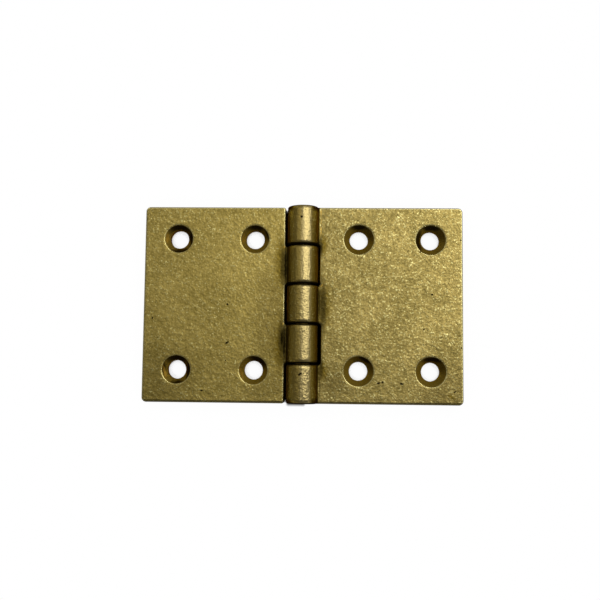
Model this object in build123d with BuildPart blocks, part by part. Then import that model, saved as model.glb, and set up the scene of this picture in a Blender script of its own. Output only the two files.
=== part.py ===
"""Back flap hinge: two broad solid brass leaves on one pin, lying opened flat.

Millimetres. The origin is the middle of the pin's axis, which runs along Y.
+Z is up, out of the countersunk faces. The leaf with three knuckles reaches
towards +X and holds the pin. The leaf with two knuckles reaches towards -X
and turns on it. Each leaf is a drawn section, a plate with a round barrel on
its edge, cut to length and milled into knuckles.
"""

import os

from build123d import *

# Whole hinge, opened flat
hinge_length = 50.8
open_width = 82.5
knuckle_count = 5

# Section of a leaf
leaf_thickness = 3.0
barrel_diameter = 8.0
face_below_pin = 0.1
junction_round = 0.5

# Milled outline
knuckle_gap = 0.3
# How far a notch wall stands off the other leaf's knuckle: the three-knuckle leaf's first one fits closely
close_notch_clearance = 0.35
wide_notch_clearance = 0.75
notch_clearance_two = 0.5
notch_corner_round = 0.6
leaf_corner_round = 1.2
edge_round = 0.5

# Screw holes, a two by two grid in each leaf
hole_diameter = 4.8
countersink_angle = 90.0
countersink_diameter_three = 8.0
countersink_diameter_two = 7.6
hole_spacing_across_three = 18.5
hole_spacing_across_two = 19.9
hole_spacing_along = 34.0
inner_hole_from_pin_three = 14.5
inner_hole_from_pin_two = 12.5
rim_round = 0.12

# Pin
pin_diameter = 4.0
running_clearance = 0.05
pin_end_set_in = 0.2
pin_end_chamfer = 0.3

# Worked out from the sizes above
barrel_radius = barrel_diameter / 2
leaf_reach = open_width / 2
knuckle_pitch = hinge_length / knuckle_count
leaf_face = -face_below_pin
leaf_middle = leaf_face - leaf_thickness / 2
# Knuckles are counted from the +Y end; the first, third and fifth belong to one leaf
knuckle_middles = [hinge_length / 2 - knuckle_pitch * (i + 0.5) for i in range(knuckle_count)]
# Lengths that differ by less than this are taken as equal where edges are picked
pick_within = 0.01


def make_leaf(side, other_knuckles, notch_clearances, bore_radius, hole_spacing, inner_hole, countersink):
    """One leaf with its knuckles. side is +1 towards +X or -1 towards -X."""
    notch_walls = [barrel_radius + clearance for clearance in notch_clearances]
    with BuildPart() as leaf:
        # The drawn section: plate and barrel, with a small round where they meet
        with BuildSketch(Plane.XZ) as section:
            with Locations((side * leaf_reach / 2, leaf_middle)):
                Rectangle(leaf_reach, leaf_thickness)
            # The circle starts on the side away from the plate, clear of the corners that are rounded
            with Locations(Location((0, 0), 90 + 90 * side)):
                Circle(barrel_radius)
            corners = section.vertices().filter_by(lambda v: v.X * side > 0)
            corners = corners.filter_by(lambda v: abs(v.center().length - barrel_radius) < pick_within)
            fillet(corners, junction_round)
        extrude(amount=hinge_length / 2, both=True)

        # Its plan: the other leaf's knuckles are milled out of the barrel edge
        with BuildSketch(Plane.XY) as plan:
            with Locations((side * (leaf_reach - barrel_diameter) / 2, 0)):
                Rectangle(leaf_reach + barrel_diameter, hinge_length)
            outer_corners = plan.vertices().filter_by(lambda v: v.X * side > barrel_diameter)
            fillet(outer_corners, leaf_corner_round)
            for wall, y in zip(notch_walls, other_knuckles):
                with Locations((side * (wall - barrel_diameter) / 2, y)):
                    Rectangle(wall + barrel_diameter, knuckle_pitch + knuckle_gap, mode=Mode.SUBTRACT)
            notch_corners = plan.vertices().filter_by(lambda v: barrel_radius < v.X * side < barrel_diameter)
            fillet(notch_corners, notch_corner_round)
        extrude(amount=barrel_radius, both=True, mode=Mode.INTERSECT)

        # Soft edges all round, as tumbling leaves them, knuckle ends included
        ends = leaf.faces().filter_by(Axis.Y).edges()
        level_lines = ends.filter_by(lambda e: abs((e @ 0).Z - (e @ 1).Z) < pick_within)
        fillet(level_lines + ends.filter_by(GeomType.LINE, reverse=True), edge_round)

        # Bore for the pin
        with BuildSketch(Plane.XZ):
            Circle(bore_radius)
        extrude(amount=hinge_length / 2, both=True, mode=Mode.SUBTRACT)

        # Countersunk screw holes
        with Locations(Plane.XY.offset(leaf_face)):
            with Locations((side * (inner_hole + hole_spacing / 2), 0)):
                with GridLocations(hole_spacing, hole_spacing_along, 2, 2):
                    CounterSinkHole(hole_diameter / 2, countersink / 2, counter_sink_angle=countersink_angle)
        circles = leaf.edges().filter_by(GeomType.CIRCLE)
        rims = circles.filter_by(lambda e: abs(e.radius - countersink / 2) < pick_within)
        fillet(rims, rim_round)
    return leaf


# Three-knuckle leaf, which holds the pin tightly
three_knuckle_leaf = make_leaf(
    side=1,
    other_knuckles=knuckle_middles[1::2],
    notch_clearances=[close_notch_clearance] + [wide_notch_clearance] * (knuckle_count // 2 - 1),
    bore_radius=pin_diameter / 2,
    hole_spacing=hole_spacing_across_three,
    inner_hole=inner_hole_from_pin_three,
    countersink=countersink_diameter_three,
)
three_knuckle_leaf.part.label = "three_knuckle_leaf"

# Two-knuckle leaf, which turns on the pin
two_knuckle_leaf = make_leaf(
    side=-1,
    other_knuckles=knuckle_middles[0::2],
    notch_clearances=[notch_clearance_two] * (knuckle_count - knuckle_count // 2),
    bore_radius=pin_diameter / 2 + running_clearance,
    hole_spacing=hole_spacing_across_two,
    inner_hole=inner_hole_from_pin_two,
    countersink=countersink_diameter_two,
)
two_knuckle_leaf.part.label = "two_knuckle_leaf"

# Hinge pin, a plain rod a little shorter than the barrel
with BuildPart() as hinge_pin:
    with BuildSketch(Plane.XZ):
        Circle(pin_diameter / 2)
    extrude(amount=hinge_length / 2 - pin_end_set_in, both=True)
    chamfer(hinge_pin.edges().filter_by(GeomType.CIRCLE), pin_end_chamfer)
hinge_pin.part.label = "hinge_pin"

os.makedirs("parts", exist_ok=True)
export_step(three_knuckle_leaf.part, "parts/three_knuckle_leaf.step")
export_step(two_knuckle_leaf.part, "parts/two_knuckle_leaf.step")
export_step(hinge_pin.part, "parts/hinge_pin.step")
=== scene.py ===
# %% [markdown]
# # A solid brass back flap hinge, tumbled and darkened
#
# The hinge lies opened flat on a white table and is seen from almost straight above. Its three pieces
# are two broad leaves with round knuckles along one edge, and the pin that they turn on. Their shapes
# come from the construction model, which is loaded as a fixed frame, so this lesson is about light,
# camera and above all about one metal: brass that was tumbled with stones and then left to darken.

# %% Load the construction model
import math

import bpy
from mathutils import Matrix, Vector


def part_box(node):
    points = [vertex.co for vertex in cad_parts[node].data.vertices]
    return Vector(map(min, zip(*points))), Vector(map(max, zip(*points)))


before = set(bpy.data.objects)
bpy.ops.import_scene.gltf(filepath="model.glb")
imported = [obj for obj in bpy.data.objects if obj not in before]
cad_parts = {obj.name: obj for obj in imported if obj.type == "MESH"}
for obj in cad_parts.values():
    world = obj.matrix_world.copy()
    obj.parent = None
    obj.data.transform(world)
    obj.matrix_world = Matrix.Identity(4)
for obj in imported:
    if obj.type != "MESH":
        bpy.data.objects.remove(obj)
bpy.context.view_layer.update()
three_knuckle_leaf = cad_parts["three_knuckle_leaf"]
two_knuckle_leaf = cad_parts["two_knuckle_leaf"]
hinge_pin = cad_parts["hinge_pin"]
print("pieces:", sorted(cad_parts))

# %% [markdown]
# ## Sizes that the looks depend on
#
# A finish follows the form: dirt gathers where the barrel meets the leaf, and edges wear bright. So a
# few places are needed again here. The barrel's radius and length are read from the leaf's own box. The
# two faces of a leaf can't be read from a box, because the barrel stands out on both sides of them.

# %% Main places
MM = 0.001
low_corner, high_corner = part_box("three_knuckle_leaf")
barrel_radius = high_corner.z
hinge_length = high_corner.y - low_corner.y
knuckle_count = 5
knuckle_pitch = hinge_length / knuckle_count
# From here on in millimetres
half_length = hinge_length / 2 / MM
knuckle_radius = barrel_radius / MM
leaf_reach = high_corner.x / MM
leaf_face = -0.1
leaf_thickness = 3.0
print("barrel radius", round(barrel_radius / MM, 2), "mm, length", round(hinge_length / MM, 2), "mm")

# %% [markdown]
# ## The camera
#
# The view is almost straight down from about 21 cm, a little below the middle of the hinge, so that
# the upper end of the barrel bulges over the leaves' upper edge. The small shift sets the hinge where it
# lies in the picture.

# %% Camera
camera_place = Vector((6.085, -16.769, 211.784)) * MM
camera_pitch = 4.907
camera_yaw = 1.963
camera_roll = 0.634
focal_length = 49.44
frame_shift = (0.0035, -0.0016)

camera_data = bpy.data.cameras.new("camera")
camera_data.lens = focal_length
camera_data.shift_x, camera_data.shift_y = frame_shift
camera_data.clip_start = 0.01
camera = bpy.data.objects.new("camera", camera_data)
bpy.context.scene.collection.objects.link(camera)
camera.location = camera_place
camera.rotation_mode = "ZXY"
camera.rotation_euler = [math.radians(a) for a in (camera_pitch, camera_yaw, camera_roll)]
bpy.context.scene.camera = camera
bpy.context.scene.view_settings.view_transform = "Standard"
print("camera", [round(c / MM, 1) for c in camera.location], "mm from the middle of the pin")

# %% [markdown]
# ## Small helpers
#
# Colours are written as sRGB hex values, the way that a colour picker shows them, and Blender wants
# them linear. The second helper adds one shader node with its settings, its numbers and its links.

# %% Helpers for colours and nodes
def linear(hex_colour):
    """A #rrggbb colour as linear red, green, blue and alpha."""
    channels = [int(hex_colour[i : i + 2], 16) / 255 for i in (1, 3, 5)]
    return [c / 12.92 if c <= 0.04045 else ((c + 0.055) / 1.055) ** 2.4 for c in channels] + [1.0]


def add_node(tree, kind, values=None, links=None, **settings):
    """Adds a shader node. Its settings are properties, values and links go to sockets by name or place."""
    made = tree.nodes.new("ShaderNode" + kind)
    for name, value in settings.items():
        setattr(made, name, value)
    for socket, value in (values or {}).items():
        made.inputs[socket].default_value = value
    for socket, source in (links or {}).items():
        tree.links.new(source, made.inputs[socket])
    return made


def new_material(name):
    """An empty node material and its tree."""
    material = bpy.data.materials.new(name)
    material.use_nodes = True
    material.node_tree.nodes.clear()
    return material, material.node_tree


print("middle grey #808080 is", round(linear("#808080")[0], 3), "as linear light")

# %% [markdown]
# ## The table
#
# A white table that rises into a low rim, one smooth surface like a paper sweep bent all round. It starts
# as a disc, and its outer edge is drawn out in small steps along a quarter circle, so that the metal
# mirrors no hard line where the table ends.

# %% Table and rim
table_height = -barrel_radius
table_radius = 1.3
table_corners = 96
rim_height = 0.2
rim_steps = 12

bpy.ops.object.select_all(action="DESELECT")
bpy.ops.mesh.primitive_circle_add(
    vertices=table_corners, radius=table_radius, fill_type="NGON", location=(0, 0, table_height)
)
table = bpy.context.object
table.name = "table"
bpy.ops.object.mode_set(mode="EDIT")
bpy.ops.mesh.select_mode(type="EDGE")
bpy.ops.mesh.select_all(action="SELECT")
bpy.ops.mesh.region_to_loop()
for step in range(rim_steps):
    # A quarter circle outwards and upwards, one ring of faces at a time
    start = math.pi / 2 * step / rim_steps
    end = math.pi / 2 * (step + 1) / rim_steps
    rise = rim_height * (math.cos(start) - math.cos(end))
    growth = (table_radius + rim_height * math.sin(end)) / (table_radius + rim_height * math.sin(start))
    bpy.ops.mesh.extrude_edges_move(TRANSFORM_OT_translate={"value": (0, 0, rise)})
    bpy.ops.transform.resize(value=(growth, growth, 1), center_override=(0, 0, 0))
bpy.ops.mesh.select_all(action="SELECT")
bpy.ops.mesh.normals_make_consistent(inside=True)
bpy.ops.object.mode_set(mode="OBJECT")
bpy.ops.object.transform_apply()
bpy.ops.object.shade_smooth()
print("table", [round(d, 3) for d in table.dimensions], "m")

# %% [markdown]
# ### The table's paint
#
# To light and to shiny things the table is a real painted surface that glows a little. In the slits
# beside the knuckles hardly any light gets down to it, so the strip below the barrel gets painted shade:
# the paint is dark there and its glow is mostly taken out, and what the brass mirrors of it is dark. The
# glow also fades towards the rim, because the flanks of a round bar mirror what is far away, and there
# they would shine. Such places on the table are marked off as rectangles with a soft edge, which one
# helper makes from a few vector nodes.

# %% Soft-edged rectangles on the table
table_paint, tree = new_material("table white matt paint")
table_place = add_node(tree, "TexCoord").outputs["Object"]
light_path = add_node(tree, "LightPath").outputs
any_height = 1.0


def off_rectangle(middle, half_size, fade):
    """Is 0 on a rectangle of the table and rises to 1 over the fade around it, all in millimetres."""
    offset = add_node(
        tree, "VectorMath", operation="SUBTRACT", links={0: table_place},
        values={1: (middle[0] * MM, middle[1] * MM, 0)},
    ).outputs[0]
    offset = add_node(tree, "VectorMath", operation="ABSOLUTE", links={0: offset}).outputs[0]
    beyond = add_node(
        tree, "VectorMath", operation="SUBTRACT", links={0: offset},
        values={1: (half_size[0] * MM, half_size[1] * MM, any_height)},
    ).outputs[0]
    beyond = add_node(
        tree, "VectorMath", operation="MAXIMUM", links={0: beyond}, values={1: (0, 0, 0)}
    ).outputs[0]
    beyond = add_node(tree, "VectorMath", operation="LENGTH", links={0: beyond}).outputs["Value"]
    return add_node(
        tree, "MapRange", interpolation_type="SMOOTHSTEP", links={"Value": beyond},
        values={"From Min": 0.0, "From Max": fade * MM, "To Min": 0.0, "To Max": 1.0},
    ).outputs[0]


# %% Paint that glows beside the hinge and is dark below the barrel
glow_beside, glow_far_off = 0.92, 0.18
glow_near, glow_far = 0.2, 0.8
barrel_strip = ((0, 0), (4.8, half_length + 0.2), 1.0)
ridge_strip = ((0, 0), (1.4, half_length - 1.6), 1.4)
paint_grain = 2.0 * MM

glow = add_node(
    tree, "Math", operation="MAXIMUM",
    links={0: light_path["Is Glossy Ray"], 1: light_path["Is Transmission Ray"]},
).outputs[0]
distance = add_node(tree, "VectorMath", operation="LENGTH", links={0: table_place}).outputs["Value"]
level = add_node(
    tree, "MapRange", interpolation_type="SMOOTHSTEP", links={"Value": distance},
    values={"From Min": glow_near, "From Max": glow_far, "To Min": glow_beside, "To Max": glow_far_off},
).outputs[0]
off_barrel = off_rectangle(*barrel_strip)
# Only the underside of the barrel mirrors the middle of the strip below it, so there the paint glows again
off_ridge = off_rectangle(*ridge_strip)
on_ridge = add_node(tree, "Math", operation="SUBTRACT", values={0: 1.0}, links={1: off_ridge}).outputs[0]
lit = add_node(tree, "Math", operation="MAXIMUM", links={0: off_barrel, 1: on_ridge}).outputs[0]
for share in (level, lit):
    glow = add_node(tree, "Math", operation="MULTIPLY", links={0: glow, 1: share}).outputs[0]
grain = add_node(
    tree, "TexNoise", links={"Vector": table_place}, values={"Scale": 1 / paint_grain}
).outputs["Fac"]
paint = add_node(
    tree, "Mix", data_type="RGBA", links={0: grain}, values={6: linear("#d8d8d6"), 7: linear("#e0e0de")}
).outputs[2]
# Painted shade: below the barrel the paint itself is dark
paint = add_node(
    tree, "Mix", data_type="RGBA", links={0: off_barrel, 7: paint}, values={6: linear("#141210")}
).outputs[2]
diffuse = add_node(tree, "BsdfDiffuse", links={"Color": paint})
emission = add_node(tree, "Emission", values={"Color": (1, 1, 1, 1)}, links={"Strength": glow})
painted = add_node(tree, "AddShader", links={0: diffuse.outputs[0], 1: emission.outputs[0]})

# %% [markdown]
# ### The hinge's shade
#
# The camera sees the table as a clear sheet over the white room, with the hinge's shade drawn on it: the
# less of the room a place on the table sees, the darker it is. So a slit reads black, a screw hole white,
# and a leaf that is folded down below the table still shows. An ambient occlusion node measures how much
# of the room each place sees, and a colour ramp turns that into shade.

# %% The shade that the camera sees
shade_reach = 40 * MM
# How much of the room a place sees, and how light it looks then
shade_steps = [(0.15, 0.0), (0.27, 0.97), (0.90, 1.0)]
slit_strip = ((0, 0), (4.9, half_length - 0.2), 0.4)
share_taken = 0.3
end_shadow = ((-1.6, 5.0 - half_length), (1.9, 5.2), 0.9)
end_shadow_share = 0.88

open_sky = add_node(tree, "AmbientOcclusion", samples=16, values={"Distance": shade_reach}).outputs["AO"]
# Below the barrel a place has to see more of the room, so the slits stay black up to their open ends
off_slits = off_rectangle(*slit_strip)
slit_cut = add_node(
    tree, "MapRange", links={"Value": off_slits},
    values={"From Min": 0.0, "From Max": 1.0, "To Min": share_taken, "To Max": 0.0},
).outputs[0]
open_sky = add_node(tree, "Math", operation="SUBTRACT", links={0: open_sky, 1: slit_cut}).outputs[0]
shade = add_node(tree, "ValToRGB", links={"Fac": open_sky})
ramp = shade.color_ramp
ramp.elements.new(0.5)
for element, (position, value) in zip(ramp.elements, shade_steps):
    element.position = position
    element.color = (value, value, value, 1.0)
# The soft shadow of the barrel's near end falls away from the main lamp
off_end = off_rectangle(*end_shadow)
shade = add_node(
    tree, "Mix", data_type="RGBA", blend_type="MULTIPLY", values={0: end_shadow_share},
    links={6: shade.outputs["Color"], 7: off_end},
).outputs[2]
# From below the sheet is quite clear
below = add_node(tree, "NewGeometry").outputs["Backfacing"]
shade = add_node(
    tree, "Mix", data_type="RGBA", links={0: below, 6: shade}, values={7: (1, 1, 1, 1)}
).outputs[2]
clear = add_node(tree, "BsdfTransparent", links={"Color": shade})
both = add_node(
    tree, "MixShader", links={0: light_path["Is Camera Ray"], 1: painted.outputs[0], 2: clear.outputs[0]}
)
add_node(tree, "OutputMaterial", links={"Surface": both.outputs[0]})
table.data.materials.append(table_paint)
print(table.name, "is", table_paint.name, "with", len(tree.nodes), "nodes")

# %% [markdown]
# ## The light
#
# The stripe along the barrel tells where the light is: a round bar shows the whole room as thin
# stripes, and here one broad bright patch stands to the right of the ridge, with a dark left flank. The
# leaves tell the rest: they grow lighter to the right and to the far end. So one large soft lamp hangs
# level over the far right-hand side, and a much dimmer one beside it stands for the ceiling.

# %% Soft lamps
def soft_lamp(name, middle, size, radiance):
    """A level rectangular lamp that shines down. Its power gives the radiance that is asked for."""
    data = bpy.data.lights.new(name, "AREA")
    data.shape = "RECTANGLE"
    data.size, data.size_y = size
    data.energy = math.pi * size[0] * size[1] * radiance
    made = bpy.data.objects.new(name, data)
    bpy.context.scene.collection.objects.link(made)
    made.location = middle
    print(name, "at", middle, "m,", round(data.energy, 2), "W")


soft_lamp("main lamp", middle=(0.42, 0.33, 0.60), size=(0.73, 0.65), radiance=2.5)
soft_lamp("ceiling", middle=(-0.31, 0.33, 0.60), size=(0.70, 0.65), radiance=0.46)

# %% [markdown]
# ### The room
#
# Around the lamps the room is dim, a little lighter to the right, and darker overhead than at its walls.
# A world shader can be all that: it looks up the direction of a ray, and a ray to the right or upwards
# gets its own strength. To the camera the room is white, which gives the picture its background without
# more light on the hinge. What the metal mirrors above the table's rim stays dim, because a room that is
# white all round would wash out the stripe on the barrel.

# %% A dim room with a white background
world = bpy.data.worlds.new("dim room")
world.use_nodes = True
room = world.node_tree.nodes["Background"]
room.inputs["Color"].default_value = (1, 1, 1, 1)
# Radiance of the left and the right wall just above the table, and of the room overhead
left_light, right_light, overhead_light = 0.32, 0.52, 0.11
# How steep a direction is where the walls end and the room overhead starts, as its height part
walls_end, overhead_starts = 0.15, 0.55

direction = add_node(world.node_tree, "TexCoord").outputs["Generated"]
towards = add_node(world.node_tree, "SeparateXYZ", links={0: direction}).outputs
wall_light = add_node(
    world.node_tree, "MapRange", links={"Value": towards["X"]},
    values={"From Min": -1.0, "From Max": 1.0, "To Min": left_light, "To Max": right_light},
).outputs[0]
strength = add_node(
    world.node_tree, "MapRange", interpolation_type="SMOOTHSTEP",
    links={"Value": towards["Z"], "To Min": wall_light},
    values={"From Min": walls_end, "From Max": overhead_starts, "To Max": overhead_light},
).outputs[0]

# %% White for the camera and glass, and for metal below the table's rim
# Only a leaf that is folded down below the table mirrors the room from under this steepness
rim_starts, rim_ends = 0.09, 0.125

seen = add_node(world.node_tree, "LightPath").outputs
below_rim = add_node(
    world.node_tree, "MapRange", interpolation_type="SMOOTHSTEP", links={"Value": towards["Z"]},
    values={"From Min": rim_starts, "From Max": rim_ends, "To Min": 1.0, "To Max": 0.0},
).outputs[0]
mirrored = add_node(
    world.node_tree, "Math", operation="MULTIPLY", links={0: seen["Is Glossy Ray"], 1: below_rim}
).outputs[0]
for white in (seen["Is Camera Ray"], seen["Is Transmission Ray"], mirrored):
    strength = add_node(
        world.node_tree, "Math", operation="MAXIMUM", links={0: white, 1: strength}
    ).outputs[0]
world.node_tree.links.new(strength, room.inputs["Strength"])
bpy.context.scene.world = world
print(world.name, "from", overhead_light, "overhead to", right_light, "at the right-hand wall")

# %% [markdown]
# ## Tumbled, darkened brass
#
# Solid brass is an alloy of copper and zinc. New and polished it is a bright yellow. These leaves were
# sawn from a drawn section, milled, and then tumbled in a drum with stones: that rounds every edge and
# covers the faces with tiny dents in all directions, so the metal is satin and not brushed. A darkening
# bath made it olive brown, and a last short tumble rubbed the high spots bright again. Four things
# follow for the eye: fine dents that glitter, a colour that changes from dent to dent, smoother and
# lighter metal on the barrel and the edges, which get rubbed most, and darker metal wherever the
# stones don't reach: in the screw holes, on the milled walls and in the corner beside the barrel.
# Some light and shade is painted into the colour as well: a highlight stripe and a lighter ridge along
# the barrel and a near-white highlight on the edges, and painted shade on the barrel's flanks, corners
# and ends, on the leaves' outer edges and in some wide patches.
#
# All places are in millimetres on the leaf itself, so the finish moves with it. The first step is to
# tell the shader where on the leaf it is, in measures that a maker would take: how far from the pin, how
# far across and along, how deep under the nearer face, and which way the surface looks.

# %% Measures on a leaf
# A painted highlight: a pale stripe along the barrel, a little to the right of its highest line
highlight_stripe_place = 0.9
middle_height = leaf_face - leaf_thickness / 2
# To the left and the near end, where the least light comes from
unlit_side = (-0.6, -1.0, 0)


def leaf_measures(tree):
    """The place on a leaf in millimetres, and the distances and slopes that its masks are made from."""
    coordinates = add_node(tree, "TexCoord").outputs
    place = add_node(
        tree, "VectorMath", operation="SCALE", values={"Scale": 1 / MM}, links={0: coordinates["Object"]}
    ).outputs[0]
    flat = add_node(
        tree, "VectorMath", operation="MULTIPLY", values={1: (1, 0, 1)}, links={0: place}
    ).outputs[0]
    from_pin = add_node(tree, "VectorMath", operation="LENGTH", links={0: flat}).outputs["Value"]
    across, along, height = add_node(tree, "SeparateXYZ", links={0: place}).outputs
    off_axis = add_node(tree, "Math", operation="ABSOLUTE", links={0: height}).outputs[0]
    off_ridge = add_node(tree, "Math", operation="ABSOLUTE", links={0: across}).outputs[0]
    off_centre = add_node(tree, "Math", operation="ABSOLUTE", links={0: along}).outputs[0]
    off_highlight_stripe = add_node(
        tree, "Math", operation="SUBTRACT", values={1: highlight_stripe_place}, links={0: across}
    ).outputs[0]
    off_highlight_stripe = add_node(tree, "Math", operation="ABSOLUTE", links={0: off_highlight_stripe}).outputs[0]
    off_middle = add_node(
        tree, "Math", operation="SUBTRACT", values={1: middle_height}, links={0: height}
    ).outputs[0]
    off_middle = add_node(tree, "Math", operation="ABSOLUTE", links={0: off_middle}).outputs[0]
    depth = add_node(
        tree, "Math", operation="SUBTRACT", values={0: leaf_thickness / 2}, links={1: off_middle}
    ).outputs[0]
    normal = add_node(tree, "SeparateXYZ", links={0: coordinates["Normal"]}).outputs
    upright = add_node(tree, "Math", operation="ABSOLUTE", links={0: normal["Z"]}).outputs[0]
    unlit = add_node(
        tree, "VectorMath", operation="DOT_PRODUCT",
        values={1: unlit_side}, links={0: coordinates["Normal"]},
    ).outputs["Value"]
    return {
        "place": place,
        "across": across,
        "along": along,
        "height": height,
        "from pin": from_pin,
        "off axis": off_axis,
        "off ridge": off_ridge,
        "off centre": off_centre,
        "off highlight stripe": off_highlight_stripe,
        "depth": depth,
        "upright": upright,
        "facing far": normal["Y"],
        "facing unlit": unlit,
    }


# %% [markdown]
# ### What each mask covers
#
# A mask passes smoothly from 0 to 1 as one measure changes. So a table is enough: the name of the mask,
# the measure, where the mask is 0 and where it is 1. More special places are products of such masks: an
# edge, say, is near a face, tilted, not a wall, and clear of the barrel.

# %% Masks by name
mask_ramps = {
    "barrel": ("from pin", knuckle_radius + 0.45, knuckle_radius + 0.03),
    "leaf": ("from pin", knuckle_radius + 0.03, knuckle_radius + 0.45),
    "clear of the barrel": ("from pin", knuckle_radius + 0.44, knuckle_radius + 0.52),
    "ridge height": ("off axis", 0.65 * knuckle_radius, 0.88 * knuckle_radius),
    "highlight stripe side": ("off highlight stripe", 0.45 * knuckle_radius, 0.20 * knuckle_radius),
    "side": ("off ridge", 0.15 * knuckle_radius, 0.72 * knuckle_radius),
    "turned from the light": ("facing unlit", 0.10, 0.70),
    "facing far end": ("facing far", 0.25, 0.60),
    "facing near end": ("facing far", -0.06, -0.30),
    # Where painted shade goes on the barrel's corners
    "low on the barrel": ("off axis", 0.90 * knuckle_radius, 0.68 * knuckle_radius),
    "last of the barrel": ("off centre", half_length - 2.0, half_length - 0.7),
    # Where painted shade goes along the leaf's outer edges
    "far outline": ("along", half_length - 0.34, half_length - 0.14),
    "right outline": ("across", leaf_reach - 0.34, leaf_reach - 0.14),
    "near outline": ("along", 0.75 - half_length, 0.45 - half_length),
    "left outline": ("across", 0.48 - leaf_reach, 0.36 - leaf_reach),
    "below": ("depth", 0.05, 0.30),
    "near a face": ("depth", 0.30, 0.12),
    "tilted": ("upright", 0.998, 0.96),
    "not a wall": ("upright", 0.72, 0.80),
    "steep": ("upright", 0.80, 0.50),
    "upper": ("height", middle_height, middle_height + 0.5),
}
mask_products = {
    "recess": ("below", "leaf"),
    "shaded wall": ("below", "leaf", "turned from the light"),
    "edge": ("near a face", "tilted", "not a wall", "clear of the barrel"),
    "ridge": ("barrel", "ridge height"),
    "wall": ("below", "leaf", "steep"),
    "shaded flank": ("barrel", "side"),
    "painted highlight stripe": ("barrel", "ridge height", "highlight stripe side"),
    # The knuckles' dark end faces, with painted shade on their roundings
    "far end": ("barrel", "facing far end"),
    "near end": ("barrel", "facing near end"),
    "shaded barrel corner": ("barrel", "low on the barrel", "last of the barrel"),
    # Painted shade along the leaf's outer edges
    "shaded far edge": ("leaf", "far outline"),
    "shaded right edge": ("leaf", "right outline"),
    "shaded near edge": ("leaf", "near outline"),
    "shaded left edge": ("leaf", "left outline"),
}
print(len(mask_ramps), "masks and", len(mask_products), "products of masks")


# %% Masks of one leaf
def leaf_masks(tree):
    """All masks of a leaf by name, and its place in millimetres."""
    measures = leaf_measures(tree)
    masks = {"place": measures["place"]}
    for name, (measure, zero_at, one_at) in mask_ramps.items():
        masks[name] = add_node(
            tree, "MapRange", interpolation_type="SMOOTHSTEP", links={"Value": measures[measure]},
            values={
                "From Min": min(zero_at, one_at), "From Max": max(zero_at, one_at),
                "To Min": float(zero_at > one_at), "To Max": float(zero_at < one_at),
            },
        ).outputs[0]
    for name, parts in mask_products.items():
        product = masks[parts[0]]
        for part in parts[1:]:
            product = add_node(
                tree, "Math", operation="MULTIPLY", links={0: product, 1: masks[part]}
            ).outputs[0]
        masks[name] = product

    # How far the nearest joint between two knuckles is, from 0 on the joint to half a knuckle's length
    knuckles = add_node(
        tree, "Math", operation="MULTIPLY_ADD",
        values={1: MM / knuckle_pitch, 2: 0.5}, links={0: measures["along"]},
    ).outputs[0]
    masks["from joint"] = add_node(
        tree, "Math", operation="PINGPONG", values={1: 0.5}, links={0: knuckles}
    ).outputs[0]
    return masks


# %% [markdown]
# ### Marks at known places
#
# Dirt, pits and scratches on a used hinge aren't spread evenly: each has its place. Every mark here is
# an ellipse on the upper side, with its outline made uneven by noise. The same function draws the soft
# brown stains beside the knuckles, the sharp little pits and the long thin scratches.

# %% Uneven ellipses
def uneven_spots(tree, masks, spots, softness, wobble, wobble_size):
    """A mask of ellipses in millimetres, each ((x, y), (half length, half width), turn in degrees)."""
    flat = add_node(
        tree, "VectorMath", operation="MULTIPLY", values={1: (1, 1, 0)}, links={0: masks["place"]}
    ).outputs[0]
    noise = add_node(
        tree, "TexNoise", links={"Vector": flat}, values={"Scale": 1 / wobble_size, "Detail": 2.0}
    ).outputs["Color"]
    push = add_node(
        tree, "VectorMath", operation="SUBTRACT", values={1: (0.5, 0.5, 0.5)}, links={0: noise}
    ).outputs[0]
    uneven = add_node(
        tree, "VectorMath", operation="MULTIPLY_ADD",
        values={1: (wobble, wobble, 0)}, links={0: push, 2: flat},
    ).outputs[0]
    nearest = None
    for (x, y), (spot_length, spot_width), turn in spots:
        inside = add_node(
            tree, "Mapping", vector_type="TEXTURE", links={"Vector": uneven},
            values={
                "Location": (x, y, 0),
                "Rotation": (0, 0, math.radians(turn)),
                "Scale": (spot_length, spot_width, 1.0),
            },
        ).outputs[0]
        distance = add_node(tree, "VectorMath", operation="LENGTH", links={0: inside}).outputs["Value"]
        if nearest is not None:
            distance = add_node(
                tree, "Math", operation="MINIMUM", links={0: nearest, 1: distance}
            ).outputs[0]
        nearest = distance
    spotted = add_node(
        tree, "MapRange", interpolation_type="SMOOTHSTEP", links={"Value": nearest},
        values={"From Min": 1 - softness, "From Max": 1 + softness, "To Min": 1.0, "To Max": 0.0},
    ).outputs[0]
    return add_node(tree, "Math", operation="MULTIPLY", links={0: spotted, 1: masks["upper"]}).outputs[0]


# %% [markdown]
# ### The dark skin and its dents
#
# First the stones dented the metal, then the bath left a thin dark skin on it. The same noise makes both,
# so the skin is darkest in the dents and lightest between them. The dents are a bump only: at a few
# hundredths of a millimetre they are far too shallow to change the outline. Along the barrel there are
# also faint lines from drawing the section. Last come the flecks, where the second tumble rubbed through
# the skin. They are a noise of their own, sharper and finer than the dents.

# %% Dented skin
# In millimetres: what one stone's point leaves, a group of them, and a slow drift
dent_sizes = (0.62, 1.7, 11.0)


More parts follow.
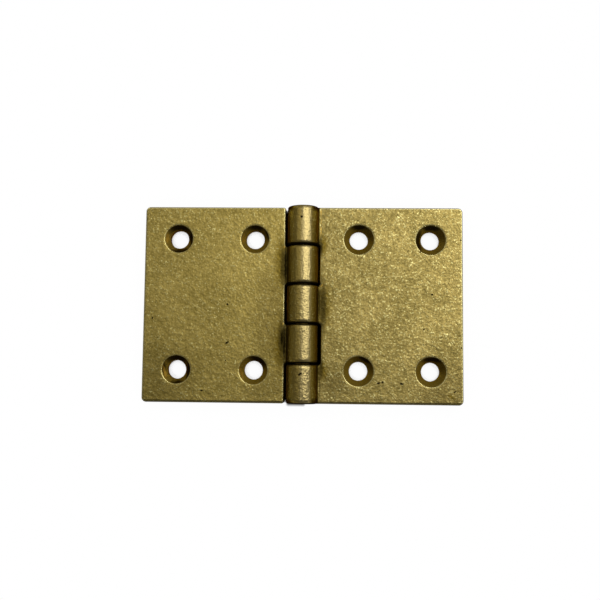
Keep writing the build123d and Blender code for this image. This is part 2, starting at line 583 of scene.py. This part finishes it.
def dented_skin(tree, place, dark_skin, light_skin):
    """Single dents, groups of dents, and the skin's colour and roughness over them."""
    dent, group, drift = [
        add_node(
            tree, "TexNoise", links={"Vector": place},
            values={"Scale": 1 / size, "Detail": 2.0, "Roughness": 0.55},
        ).outputs["Fac"]
        for size in dent_sizes
    ]
    tone = dent
    for wider, share in ((group, 0.45), (drift, 0.65)):
        tone = add_node(
            tree, "Math", operation="MULTIPLY_ADD", links={0: wider, 2: tone}, values={1: share}
        ).outputs[0]
    tone = add_node(
        tree, "MapRange", links={"Value": tone},
        values={"From Min": 0.75, "From Max": 1.35, "To Min": 0.0, "To Max": 1.0},
    ).outputs[0]
    skin = add_node(tree, "ValToRGB", links={"Fac": tone})
    skin.color_ramp.elements[0].color = linear(dark_skin)
    skin.color_ramp.elements[1].color = linear(light_skin)
    roughness = add_node(
        tree, "MapRange", links={"Value": tone},
        values={"From Min": 0.0, "From Max": 1.0, "To Min": 0.49, "To Max": 0.41},
    ).outputs[0]
    return dent, group, skin.outputs["Color"], roughness


# %% Lines from drawing
drawn_line_size = 0.5


def drawn_lines(tree, place, barrel):
    """Lines that drawing left along the barrel."""
    stretched = add_node(
        tree, "VectorMath", operation="MULTIPLY", values={1: (1, 0.12, 1)}, links={0: place}
    ).outputs[0]
    drawn = add_node(
        tree, "TexNoise", links={"Vector": stretched}, values={"Scale": 1 / drawn_line_size, "Detail": 1.0}
    ).outputs["Fac"]
    return add_node(tree, "Math", operation="MULTIPLY", links={0: drawn, 1: barrel}).outputs[0]


# %% Bright flecks
fleck_size = 0.42
fleck_rise = 0.20
flecks_on_barrel = 0.25


def bright_flecks(tree, place, group, barrel, threshold, cover):
    """The points of stones as noise, and the flecks where they rubbed through, fewer on the barrel."""
    point = add_node(
        tree, "TexNoise", links={"Vector": place},
        values={"Scale": 1 / fleck_size, "Detail": 1.0, "Roughness": 0.5},
    ).outputs["Fac"]
    point = add_node(
        tree, "Math", operation="MULTIPLY_ADD", links={0: group, 2: point}, values={1: 0.35}
    ).outputs[0]
    fleck = add_node(
        tree, "MapRange", interpolation_type="SMOOTHSTEP", links={"Value": point},
        values={"From Min": threshold, "From Max": threshold + fleck_rise, "To Min": 0.0, "To Max": cover},
    ).outputs[0]
    fewer = add_node(
        tree, "MapRange", links={"Value": barrel},
        values={"From Min": 0.0, "From Max": 1.0, "To Min": 1.0, "To Max": flecks_on_barrel},
    ).outputs[0]
    return point, add_node(tree, "Math", operation="MULTIPLY", links={0: fleck, 1: fewer}).outputs[0]


# %% [markdown]
# ### Layers over the skin
#
# Each further layer is a mask with a colour and a roughness, and one loop lays them over each other much
# as they came to be on the real thing: first what the tumbling rubbed, then the holes, edges and milled
# walls, and last the dirt and the marks of use. Painted light and shade go in among them: the highlight
# stripe and the darker flanks on the barrel, the edges' near-white highlight, painted shade on the outer
# edges, the barrel's corners and ends and some wide patches, and the glints, which are painted
# highlights. A share below 1 lets the layers underneath show through.

# %% Layers from first to last
# Each kind of mark: how soft its edge is, how far its outline wanders, and over what length, in mm
mark_edges = {
    "painted shade patch": (0.60, 3.0, 4.0),
    "brown": (0.70, 1.6, 1.8),
    "grime": (0.65, 1.2, 0.9),
    "black": (0.60, 0.6, 0.7),
    "hole darkening": (0.50, 1.0, 1.2),
    "pits": (0.30, 0.35, 0.5),
    "scratches": (0.60, 0.25, 0.6),
    "glints": (0.50, 0.20, 0.5),
}
# Mask, share, colour, roughness
brass_layers = [
    ("barrel", 0.90, "#7d7235", 0.34),
    # The ridge is lighter and smoother partly from rubbing and partly as painted highlight; the flanks'
    # darker colour is painted shade
    ("ridge", 0.90, "#b39a50", 0.28),
    ("shaded flank", 0.85, "#786424", 0.35),
    # Painted highlight: a pale stripe along the barrel where the lamp's stripe falls
    ("painted highlight stripe", 0.60, "#b8a878", 0.27),
    ("fleck", 1.0, "#eee298", 0.38),
    # Wide soft patches of painted shade, mostly towards the near end
    ("painted shade patch", 0.30, "#5a4a20", 0.50),
    ("recess", 0.90, "#9a8030", 0.60),
    ("shaded wall", 0.62, "#35240a", 0.60),
    # Edges rubbed bright, with a painted highlight in this near-white colour
    ("edge", 0.92, "#fff3ac", 0.22),
    # Painted shade along the leaf's outer edges, darkest along the near edge
    ("shaded left edge", 0.60, "#5a4a20", 0.45),
    ("shaded right edge", 0.50, "#5e5028", 0.45),
    ("shaded far edge", 0.60, "#5e5028", 0.45),
    ("shaded near edge", 0.78, "#2e240c", 0.50),
    ("wall", 0.88, "#2c220a", 0.45),
    ("brown", 0.80, "#7a6414", 0.42),
    ("grime", 0.78, "#3a3218", 0.50),
    ("black", 0.88, "#120c03", 0.60),
    # Darker patches down in the screw holes
    ("hole darkening", 0.85, "#120e06", 0.55),
    # Painted shade on the barrel's flanks near both ends
    ("shaded barrel corner", 0.92, "#241a08", 0.45),
    # The knuckles' end faces are darker, and painted shade reaches onto their roundings, furthest on the
    # near ends, which face away from the lamps
    ("far end", 0.90, "#2a200a", 0.55),
    ("near end", 0.93, "#221a08", 0.65),
    ("scratches", 0.50, "#e6d58c", 0.30),
    ("glints", 0.50, "#e0b044", 0.30),
    ("pits", 0.95, "#171006", 0.60),
]
print(len(brass_layers), "layers over the skin, from", brass_layers[0][0], "to", brass_layers[-1][0])

# %% [markdown]
# ### Height and shader
#
# The bump adds up what the eye reads as relief: dents, the stones' points on the barrel, deep pits, the
# drawn lines, and the knuckles worn down near their ends. On the barrel the wider dents are shallower,
# because it was rubbed more. A bevel that lives only in the shader rounds the creases a little more.

# %% Height of dents, pits and worn knuckle ends
bump_distance = 0.08 * MM
soft_edge_radius = 0.7 * MM


def relief(tree, masks, dent, group, point, drawn):
    """Height in units of the bump distance."""
    worn_end = add_node(
        tree, "MapRange", interpolation_type="SMOOTHSTEP", links={"Value": masks["from joint"]},
        values={"From Min": 0.0, "From Max": 0.11, "To Min": -2.6, "To Max": 0.0},
    ).outputs[0]
    worn_end = add_node(
        tree, "Math", operation="MULTIPLY", links={0: worn_end, 1: masks["barrel"]}
    ).outputs[0]
    rough_barrel = add_node(
        tree, "Math", operation="MULTIPLY", links={0: point, 1: masks["barrel"]}
    ).outputs[0]
    broad = add_node(
        tree, "MapRange", links={"Value": masks["barrel"]},
        values={"From Min": 0.0, "From Max": 1.0, "To Min": 1.2, "To Max": 0.4},
    ).outputs[0]
    height = add_node(
        tree, "Math", operation="MULTIPLY_ADD", links={0: group, 1: broad, 2: dent}
    ).outputs[0]
    for part, share in ((rough_barrel, 0.7), (masks["pits"], -0.6), (drawn, 0.7)):
        height = add_node(
            tree, "Math", operation="MULTIPLY_ADD", links={0: part, 2: height}, values={1: share}
        ).outputs[0]
    return add_node(tree, "Math", operation="ADD", links={0: worn_end, 1: height}).outputs[0]


# %% Tumbled brass
def tumbled_brass(name, dark_skin, light_skin, flecks, marks, start):
    """One leaf's finish. flecks are threshold and cover, marks are lists of spots by kind."""
    material, tree = new_material(name)
    masks = leaf_masks(tree)
    shifted = add_node(
        tree, "VectorMath", operation="ADD", values={1: start}, links={0: masks["place"]}
    ).outputs[0]
    dent, group, colour, roughness = dented_skin(tree, shifted, dark_skin, light_skin)
    drawn = drawn_lines(tree, shifted, masks["barrel"])
    point, masks["fleck"] = bright_flecks(tree, shifted, group, masks["barrel"], *flecks)
    for kind, edge in mark_edges.items():
        masks[kind] = uneven_spots(tree, masks, marks[kind], *edge)
    # These darker patches lie only down in the screw holes
    masks["hole darkening"] = add_node(
        tree, "Math", operation="MULTIPLY", links={0: masks["hole darkening"], 1: masks["recess"]}
    ).outputs[0]

    for layer, share, layer_colour, layer_roughness in brass_layers:
        cover = add_node(
            tree, "Math", operation="MULTIPLY", links={0: masks[layer]}, values={1: share}
        ).outputs[0]
        colour = add_node(
            tree, "Mix", data_type="RGBA", links={0: cover, 6: colour}, values={7: linear(layer_colour)}
        ).outputs[2]
        roughness = add_node(
            tree, "Mix", links={0: cover, 2: roughness}, values={3: layer_roughness}
        ).outputs[0]

    height = relief(tree, masks, dent, group, point, drawn)
    soft_edges = add_node(tree, "Bevel", samples=6, values={"Radius": soft_edge_radius}).outputs["Normal"]
    bump = add_node(
        tree, "Bump", links={"Height": height, "Normal": soft_edges}, values={"Distance": bump_distance}
    ).outputs["Normal"]
    shader = add_node(
        tree, "BsdfPrincipled", values={"Metallic": 1.0, "Specular Tint": linear("#a08a50")},
        links={"Base Color": colour, "Roughness": roughness, "Normal": bump},
    )
    add_node(tree, "OutputMaterial", links={"Surface": shader.outputs[0]})
    return material


# %% [markdown]
# ### One finish for each leaf
#
# The two leaves were tumbled in the same drum, but the right-hand one came out with more bright flecks.
# The left-hand one has brown stains beside its two knuckles, where oil and dirt crept out of the joint.
# Lengths are in millimetres from the middle of the pin.

# %% Marks on the right-hand leaf
three_marks = {
    "brown": [
        ((5.4, -0.3), (5.8, 1.8), 90),
        ((5.2, 15.5), (2.6, 1.0), 90),
        ((5.0, -16.5), (2.6, 1.4), 90),
        ((38.2, -23.2), (0.8, 0.4), -20),
    ],
    "grime": [
        ((5.3, -0.3), (5.6, 0.9), 90),
        ((4.4, 0.3), (4.8, 0.4), 90),
        ((4.5, 15.5), (2.2, 0.6), 90),
        ((4.7, -16.7), (2.2, 0.8), 90),
        ((4.6, -20.0), (4.5, 0.2), 90),
    ],
    "black": [((4.45, 0.5), (3.0, 0.08), 90)],
    # Darker patches down in the screw holes
    "hole darkening": [
        ((14.7, 20.3), (2.2, 0.6), 0),
        ((30.0, 16.6), (3.2, 0.9), 90),
        ((33.2, 20.2), (2.4, 0.7), 0),
        ((16.2, -14.0), (2.0, 0.6), -35),
        ((33.8, -13.9), (2.8, 0.8), 0),
    ],
    "pits": [
        ((19.6, -20.0), (0.45, 0.22), 20),
        ((20.6, -19.8), (0.30, 0.20), 60),
        ((25.5, -20.1), (0.50, 0.28), -15),
        ((33.3, 2.8), (0.25, 0.20), 0),
        ((31.2, -6.2), (0.25, 0.18), 40),
        ((39.0, -22.0), (0.30, 0.20), 30),
        ((40.75, 17.0), (0.20, 0.16), 0),
        ((40.75, -10.8), (0.20, 0.16), 0),
        ((30.3, 13.9), (0.22, 0.16), 0),
        ((-0.35, 22.2), (0.35, 0.28), 0),
        ((-0.35, -17.9), (0.55, 0.25), 40),
    ],
    "scratches": [((11.1, 7.9), (1.6, 0.09), -50), ((23.2, 7.4), (3.0, 0.10), 5)],
    "glints": [
        ((4.62, 24.0), (0.9, 0.10), 92),
        ((4.74, 21.7), (0.7, 0.12), 88),
        ((4.66, 19.4), (1.1, 0.10), 91),
        ((4.95, 5.0), (0.35, 0.16), 60),
        ((4.70, -14.8), (0.30, 0.12), 70),
    ],
    # Wide soft patches of painted shade
    "painted shade patch": [((38.0, -22.0), (9.0, 6.0), 15), ((9.0, -20.0), (4.0, 3.0), 0)],
}
print("three-knuckle leaf has", sum(len(spots) for spots in three_marks.values()), "marks")

# %% Marks on the left-hand leaf
two_marks = {
    "brown": [((-5.6, 11.0), (6.2, 1.6), 90), ((-5.6, -10.5), (6.5, 1.4), 90)],
    "grime": [((-4.9, 10.0), (5.2, 0.9), 90), ((-5.1, -9.2), (5.4, 1.0), 90)],
    "black": [
        ((-4.5, 10.2), (5.0, 0.2), 90),
        ((-4.6, -10.2), (5.0, 0.2), 90),
        ((-5.2, -8.7), (1.8, 0.3), 90),
    ],
    # Darker patches down in the screw holes
    "hole darkening": [
        ((-32.4, 20.6), (3.6, 2.2), 0),
        ((-28.8, 17.4), (2.8, 0.9), 90),
        ((-31.8, 13.4), (2.6, 1.1), 0),
        ((-12.0, 20.5), (3.0, 1.1), 0),
        ((-9.1, 18.6), (2.2, 0.6), 110),
        ((-32.2, -13.7), (3.4, 1.7), 0),
        ((-29.2, -17.6), (2.6, 0.8), 90),
        ((-32.0, -20.6), (2.2, 0.7), 0),
        ((-35.7, -16.6), (1.6, 0.5), 90),
        ((-11.2, -14.0), (3.0, 1.3), -30),
    ],
    "pits": [
        ((-19.4, -10.0), (0.50, 0.24), 30),
        ((-19.4, -0.1), (0.28, 0.22), 0),
        ((-19.7, -14.6), (0.22, 0.20), 0),
        ((-25.7, -22.4), (0.35, 0.20), 10),
        ((-38.9, -3.8), (0.30, 0.18), 50),
    ],
    "scratches": [((-27.7, -0.4), (2.3, 0.09), -27), ((-25.6, -2.4), (1.6, 0.08), -40)],
    "glints": [
        ((-4.85, -4.9), (0.35, 0.14), 60),
        ((-4.85, 15.0), (0.30, 0.12), -60),
        ((-35.5, 17.2), (1.2, 0.35), 88),
        ((-35.4, -17.6), (1.5, 0.30), 105),
        ((-15.5, 17.2), (1.1, 0.35), 85),
        ((-15.5, -17.8), (1.5, 0.30), 108),
    ],
    # Wide soft patches of painted shade
    "painted shade patch": [
        ((-38.0, -20.0), (9.0, 7.0), 25),
        ((-8.0, -3.0), (13.0, 4.0), 90),
        ((-9.0, -21.0), (6.0, 4.0), 0),
    ],
}
print("two-knuckle leaf has", sum(len(spots) for spots in two_marks.values()), "marks")

# %% [markdown]
# ### The pin
#
# The pin is a plain drawn rod. Drawing pulls the metal through a die and leaves fine lines along it. It
# was pushed in after the tumbling, so it has no dents, and it has only dulled. Little of it shows: the
# two ends, set just inside the barrel.

# %% Drawn brass rod
rod_line_size = 0.1
rod_tone_size = 1.2
rod_line_depth = 0.005 * MM


def drawn_brass(name):
    """Fine lines along the rod and a slow change of tone."""
    material, tree = new_material(name)
    place = add_node(
        tree, "VectorMath", operation="MULTIPLY", values={1: (1 / MM, 0.02 / MM, 1 / MM)},
        links={0: add_node(tree, "TexCoord").outputs["Object"]},
    ).outputs[0]
    line, tone = [
        add_node(
            tree, "TexNoise", links={"Vector": place}, values={"Scale": 1 / size, "Detail": 2.0}
        ).outputs["Fac"]
        for size in (rod_line_size, rod_tone_size)
    ]
    tone = add_node(
        tree, "Math", operation="MULTIPLY_ADD", links={0: line, 2: tone}, values={1: 0.4}
    ).outputs[0]
    colour = add_node(tree, "ValToRGB", links={"Fac": tone})
    colour.color_ramp.elements[0].color = linear("#54451f")
    colour.color_ramp.elements[1].color = linear("#8c773c")
    # The ends had the same dark bath as the knuckles around them
    normal = add_node(tree, "TexCoord").outputs["Normal"]
    facing = add_node(tree, "SeparateXYZ", links={0: normal}).outputs["Y"]
    facing = add_node(tree, "Math", operation="ABSOLUTE", links={0: facing}).outputs[0]
    end = add_node(
        tree, "MapRange", interpolation_type="SMOOTHSTEP", links={"Value": facing},
        values={"From Min": 0.8, "From Max": 0.95, "To Min": 0.0, "To Max": 0.95},
    ).outputs[0]
    darkened = add_node(
        tree, "Mix", data_type="RGBA",
        links={0: end, 6: colour.outputs["Color"]}, values={7: linear("#2e240c")},
    ).outputs[2]
    bump = add_node(
        tree, "Bump", links={"Height": line}, values={"Distance": rod_line_depth}
    ).outputs["Normal"]
    shader = add_node(
        tree, "BsdfPrincipled",
        values={"Metallic": 1.0, "Roughness": 0.5, "Specular Tint": linear("#a08a50")},
        links={"Base Color": darkened, "Normal": bump},
    )
    add_node(tree, "OutputMaterial", links={"Surface": shader.outputs[0]})
    return material


# %% Finishes on their pieces
finishes = {
    three_knuckle_leaf: tumbled_brass(
        "tumbled brass, three-knuckle leaf", "#83743c", "#c0a962", (0.74, 0.90), three_marks, (0, 0, 0)
    ),
    two_knuckle_leaf: tumbled_brass(
        "tumbled brass, two-knuckle leaf", "#978440", "#cbb362", (0.76, 0.90), two_marks, (53, 31, 17)
    ),
    hinge_pin: drawn_brass("drawn brass rod"),
}
for piece, material in finishes.items():
    piece.data.materials.clear()
    piece.data.materials.append(material)
    print(piece.name, "is", material.name)
